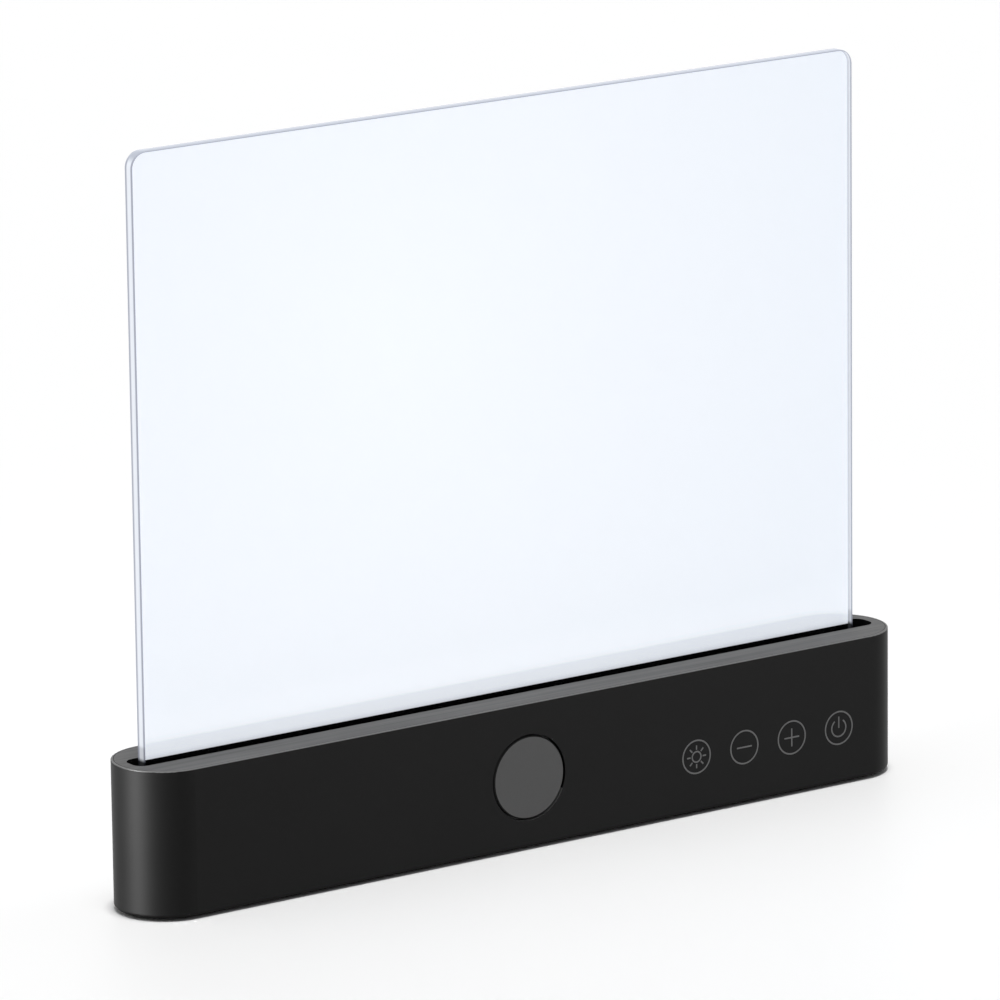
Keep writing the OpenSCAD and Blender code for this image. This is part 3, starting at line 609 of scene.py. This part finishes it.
def round_top_corners(piece, radius):
    """Rounds the two upper corners of an upright sheet."""
    top = max(corner.co.z for corner in piece.data.vertices)
    pick(piece, "edges",
         lambda e: edge_direction(e).y > ALONG_AXIS and edge_middle(e).z > top - TOP_TOLERANCE)
    bpy.ops.mesh.bevel(offset=radius, offset_type="OFFSET", segments=14, profile=0.5, affect="EDGES")
    bpy.ops.object.mode_set(mode="OBJECT")


def make_sheet(clear, edge):
    """The clear sheet: rounded upper corners, and all its rims polished to a small round."""
    sheet = block("clear_sheet", *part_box("light_panel"))
    round_top_corners(sheet, SHEET_CORNER)
    apply_modifier(sheet, "BEVEL", width=POLISHED_EDGE, segments=3, limit_method="ANGLE",
                   angle_limit=math.radians(40))
    bpy.ops.object.shade_smooth_by_angle(angle=math.radians(25))
    finish_piece(sheet, clear, "panel", "acrylic", "light_panel")
    sheet.data.materials.append(edge)
    for face in sheet.data.polygons:
        broad = abs(face.normal.y) > BROAD_FACE
        face.material_index = 0 if broad else 1
        face.use_smooth = not broad


def make_film(material):
    """The film behind the sheet, a hair clear of it so that the two faces don't fall into one."""
    low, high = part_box("glow_film")
    low.y += FILM_OFF_SHEET
    high.y -= FILM_OFF_SHEET
    film = block("light_film", low, high)
    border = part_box("light_panel")[1].x - high.x
    round_top_corners(film, SHEET_CORNER - border)
    bpy.ops.object.shade_smooth_by_angle(angle=math.radians(25))
    finish_piece(film, material, "panel", "glow_film", "glow_film")


def make_feet(material):
    """Stick-on feet: a round pad with a soft rim and a shallow dish that grips the table."""
    low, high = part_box("rubber_feet")
    start_piece()
    bpy.ops.mesh.primitive_cylinder_add(vertices=48, radius=FOOT_RADIUS, depth=high.z - low.z,
                                        location=(0, 0, (low.z + high.z) / 2))
    pattern = bpy.context.object
    bpy.ops.object.transform_apply(location=True, rotation=True, scale=True)
    pick(pattern, "faces", lambda f: f.normal.z < -ALONG_AXIS)
    bpy.ops.mesh.inset(thickness=FOOT_RIM, depth=0)
    bpy.ops.mesh.inset(thickness=FOOT_DISH_SLOPE, depth=-FOOT_DISH_DEPTH)
    bpy.ops.object.mode_set(mode="OBJECT")
    apply_modifier(pattern, "BEVEL", width=FOOT_ROUND, segments=3, limit_method="ANGLE",
                   angle_limit=math.radians(50))
    bpy.ops.object.shade_smooth_by_angle(angle=math.radians(30))
    centres = [(x, y) for x in (low.x + FOOT_RADIUS, high.x - FOOT_RADIUS)
               for y in (low.y + FOOT_RADIUS, high.y - FOOT_RADIUS)]
    for number, (x, y) in enumerate(centres, 1):
        pad = pattern.copy()
        pad.data = pattern.data.copy()
        pad.name = f"foot_pad_{number}"
        pad.data.name = pad.name
        pad.data.transform(Matrix.Translation((x, y, 0)))
        bpy.context.collection.objects.link(pad)
        finish_piece(pad, material, "base", "foot_rubber", "rubber_feet")
    bpy.data.objects.remove(pattern)


def make_contacts(material):
    """The gold contacts of the socket: twelve flat springs on each face of its tongue."""
    low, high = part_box("usb_tongue")
    centre = (low + high) / 2
    front = high.y - CONTACT_SETBACK
    first = centre.x - CONTACT_PITCH * (CONTACT_COUNT - 1) / 2
    seat = centre.z + TONGUE_HALF
    strip = block("socket_contacts",
                  Vector((first - CONTACT_WIDTH / 2, front - CONTACT_LENGTH, seat)),
                  Vector((first + CONTACT_WIDTH / 2, front, seat + CONTACT_THICKNESS)))
    pick(strip, "edges",
         lambda e: edge_direction(e).x > ALONG_AXIS and edge_middle(e).z > seat + CONTACT_THICKNESS / 2)
    bpy.ops.mesh.bevel(offset=CONTACT_ROUND, segments=2, affect="EDGES")
    bpy.ops.object.mode_set(mode="OBJECT")
    upper = strip.data.copy()
    lower = strip.data.copy()
    lower.transform(Matrix.Rotation(math.pi, 4, "Y"))
    lower.transform(Matrix.Translation((2 * first, 0, 2 * centre.z)))
    copies = []
    for k in range(CONTACT_COUNT):
        for side in (upper, lower):
            copied = bpy.data.objects.new("contact", side.copy())
            copied.data.transform(Matrix.Translation((k * CONTACT_PITCH, 0, 0)))
            bpy.context.collection.objects.link(copied)
            copies.append(copied)
    bpy.data.objects.remove(strip)
    start_piece()
    for copied in copies:
        copied.select_set(True)
    bpy.context.view_layer.objects.active = copies[0]
    bpy.ops.object.join()
    contacts = bpy.context.object
    contacts.name = "socket_contacts"
    contacts.data.name = "socket_contacts"
    finish_piece(contacts, material, "base", "socket_steel")


# Finishes of the CAD nodes

HOUSING = ("housing_shell", "bottom_cover")


def dress(material, *names):
    """Gives these CAD nodes a material."""
    for name in names:
        nodes[name].data.materials.clear()
        nodes[name].data.materials.append(material)


# The paler grey on the housing's upward faces is a painted highlight along its top rim
dress(moulded_plastic("abs_satin_black", "#0f0f0f", roughness=0.43, gloss=0.065,
                      grain_mm=0.5, grain_depth_mm=0.004, painted_top_highlight=("#6e6e6e", 0.5)),
      *HOUSING)
# The walls' deeper black is painted shade in the slot
dress(sprayed_plate("abs_plate_sprayed_grey", "#565656", "#040404"), "top_plate")
dress(painted_disc("abs_disc_sprayed_grey", "#5a5a5a", "#0c0c0c"), "push_button")
dress(moulded_plastic("printed_sign_grey", "#707070", roughness=0.5, gloss=0.2,
                      grain_mm=0.4, grain_depth_mm=0.003),
      "icon_brightness", "icon_minus", "icon_plus", "icon_power")
dress(moulded_plastic("nylon_moulded_black", "#141414", roughness=0.5, gloss=0.3,
                      grain_mm=0.6, grain_depth_mm=0.008),
      "channel_end_left", "channel_end_right", "slot_shield", "battery_cradle", "tact_switch", "usb_tongue")
dress(moulded_plastic("epoxy_moulding_black", "#18181a", roughness=0.6, gloss=0.3,
                      grain_mm=0.3, grain_depth_mm=0.006),
      "control_chips")
dress(moulded_plastic("nylon_cream", "#b9b4a6", roughness=0.45, gloss=0.4,
                      grain_mm=0.6, grain_depth_mm=0.004),
      "tact_plunger")
dress(soft_rubber("silicone_grip", "#3f4045", roughness=0.55, grain_mm=0.5, grain_depth_mm=0.01),
      "grip_strip_front", "grip_strip_back")
dress(streaked_metal("aluminium_black_anodised", "#26262a", roughness=0.42, streak_mm=0.4,
                     stretch=(0.03, 1, 1), depth_mm=0.004),
      "channel_base", "channel_front", "channel_back")
dress(streaked_metal("steel_rolled_bar", "#adb0b5", roughness=0.4, streak_mm=0.6,
                     stretch=(0.04, 1, 1), depth_mm=0.01),
      "ballast_bar")
dress(streaked_metal("steel_zinc_plated", "#bdbdc0", roughness=0.32, streak_mm=0.7,
                     stretch=(1, 1, 0.4), depth_mm=0.004),
      "cover_screws", "ballast_screws", "channel_screws")
dress(streaked_metal("spring_wire_nickel", "#c4c4c6", roughness=0.28, streak_mm=0.3,
                     stretch=(1, 0.3, 1), depth_mm=0.003),
      "touch_springs", "button_spring")
dress(streaked_metal("steel_tinned", "#cbcbcd", roughness=0.3, streak_mm=0.5,
                     stretch=(1, 0.1, 1), depth_mm=0.004),
      "usb_shell")
dress(solder_mask("board_green_mask", "#1d5a39", "#2b7049", trace_mm=1.2),
      "control_board", "charge_board", "battery_board")
dress(solder_mask("board_white_mask", "#e6e6e6", "#f2f2f0", trace_mm=1.6), "led_board")
dress(phosphor_resin("phosphor_resin"), "led_chips")
dress(shrink_film("pvc_shrink_blue", *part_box("battery_cell")), "battery_cell")
for lead_node, lead_axis in (("battery_leads", "Z"), ("led_leads", "X"), ("charge_leads", "X")):
    lead_low, lead_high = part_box(lead_node)
    axis_number = "XYZ".index(lead_axis)
    split = (lead_low[axis_number] + lead_high[axis_number]) / 2
    dress(wire_insulation(f"pvc_wire_{lead_node}", lead_axis, split), lead_node)

# How far the band of painted shade on the film reaches above the base, and where along X it starts to turn
# down
SHADE_BAND_ABOVE_BASE = 3.7 * MM
SHADE_BAND_TURNS_FROM = 100.15 * MM
base_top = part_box("top_plate")[1].z
make_sheet(cast_acrylic("acrylic_cast"),
           acrylic_edge("acrylic_polished_edge", *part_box("light_panel"), base_top))
make_film(glowing_film("film_white_diffusing", *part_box("glow_film"),
                       shade_top=base_top + SHADE_BAND_ABOVE_BASE, turn_from=SHADE_BAND_TURNS_FROM))
make_feet(soft_rubber("rubber_moulded_black", "#2c2c2c", roughness=0.75, grain_mm=0.4, grain_depth_mm=0.02))
make_contacts(streaked_metal("copper_gold_plated", "#d9b163", roughness=0.25, streak_mm=0.3,
                             stretch=(1, 0.1, 1), depth_mm=0.002))


# Floor, light and camera

FLOOR_SIZE = 14
# Strength of the white surroundings where they only light the object, and where they are seen
WORLD_LIGHT = 0.28
WORLD_SEEN = 1.0
CAMERA_AZIMUTH = -35.247
CAMERA_ELEVATION = 13.672
CAMERA_ROLL = -0.678
CAMERA_DISTANCE = 2186.785 * MM
CAMERA_TARGET = Vector((-2.482, 0, 92.135)) * MM
CAMERA_LENS = 299.4
CAMERA_SENSOR = 36


def make_floor():
    """Wide white lacquered board, smooth enough to carry a faint reflection of the base."""
    start_piece()
    bpy.ops.mesh.primitive_plane_add(size=FLOOR_SIZE, location=(0, 0, cad_box[0].z))
    floor = bpy.context.object
    floor.name = "floor"
    bpy.ops.object.transform_apply(location=True, rotation=True, scale=True)
    material, tree, place = new_material("board_white_lacquer")
    peel = add_node(tree, "ShaderNodeTexNoise",
                    {"Vector": place, "Scale": per_metre(40), "Detail": 1.0})
    satin = add_node(tree, "ShaderNodeMapRange",
                     {"Value": peel.outputs["Fac"], "To Min": 0.51, "To Max": 0.53})
    add_node(tree, "Principled BSDF",
             {"Base Color": linear("#f1f1f1"), "Roughness": satin.outputs["Result"], "IOR": 1.5,
              "Specular IOR Level": 0.6})
    floor.data.materials.append(material)


def make_world():
    """White surroundings for what the camera sees, straight or in a reflection, and softer light for
    the rest."""
    world = bpy.data.worlds.new("studio")
    bpy.context.scene.world = world
    world.use_nodes = True
    tree = world.node_tree
    path = add_node(tree, "ShaderNodeLightPath")
    seen = add_node(tree, "ShaderNodeMath",
                    {0: path.outputs["Is Camera Ray"], 1: path.outputs["Is Glossy Ray"]},
                    operation="MAXIMUM")
    seen_through = add_node(tree, "ShaderNodeMath",
                            {0: seen.outputs[0], 1: path.outputs["Is Transmission Ray"]},
                            operation="MAXIMUM")
    level = add_node(tree, "ShaderNodeMapRange",
                     {"Value": seen_through.outputs[0], "To Min": WORLD_LIGHT, "To Max": WORLD_SEEN})
    add_node(tree, "Background", {"Color": (1, 1, 1, 1), "Strength": level.outputs["Result"]})


def turned_to(target, azimuth, elevation, distance):
    """The place of a lamp or a camera that looks at a target from this direction, in degrees, and
    distance. Azimuth 0 is in front, 90 to the right."""
    turn = math.radians(azimuth)
    rise = math.radians(elevation)
    away = Vector((math.sin(turn) * math.cos(rise), -math.cos(turn) * math.cos(rise), math.sin(rise)))
    facing = away.to_track_quat("Z", "Y").to_matrix().to_4x4()
    return Matrix.Translation(target + away * distance) @ facing


def make_lamp(name, kind, azimuth, elevation, distance, **settings):
    """A lamp on a sphere round the object, turned to its middle."""
    lamp = bpy.data.objects.new(name, bpy.data.lights.new(name, kind))
    for key, value in settings.items():
        setattr(lamp.data, key, value)
    middle = (cad_box[0] + cad_box[1]) / 2
    lamp.matrix_world = turned_to(middle, azimuth, elevation, distance)
    bpy.context.collection.objects.link(lamp)
    return lamp


def light_only(lamp, *names):
    """Lets a lamp reach the gloss of these CAD nodes alone, as flags round a studio lamp do."""
    reached = bpy.data.collections.new(f"{lamp.name}_reach")
    for name in names:
        reached.objects.link(nodes[name])
    lamp.light_linking.receiver_collection = reached
    lamp.visible_diffuse = False


def make_camera():
    """A long lens at the photograph's place."""
    data = bpy.data.cameras.new("camera")
    data.sensor_width = CAMERA_SENSOR
    data.lens = CAMERA_LENS
    camera = bpy.data.objects.new("camera", data)
    roll = Matrix.Rotation(math.radians(CAMERA_ROLL), 4, "Z")
    camera.matrix_world = turned_to(CAMERA_TARGET, CAMERA_AZIMUTH, CAMERA_ELEVATION, CAMERA_DISTANCE) @ roll
    bpy.context.collection.objects.link(camera)
    bpy.context.scene.camera = camera


make_floor()
make_world()
make_lamp("overhead", "SUN", azimuth=0, elevation=88, distance=3, energy=2.6, angle=math.radians(8))
side_box = make_lamp("side_box", "AREA", azimuth=-97, elevation=18, distance=1.6,
                     energy=660, shape="RECTANGLE", size=0.6, size_y=1.1)
front_box = make_lamp("front_box", "AREA", azimuth=36, elevation=6, distance=1.6,
                      energy=34, shape="RECTANGLE", size=0.7, size_y=0.9)
light_only(side_box, *HOUSING)
light_only(front_box, *HOUSING)
make_camera()
bpy.context.scene.view_settings.view_transform = "Standard"
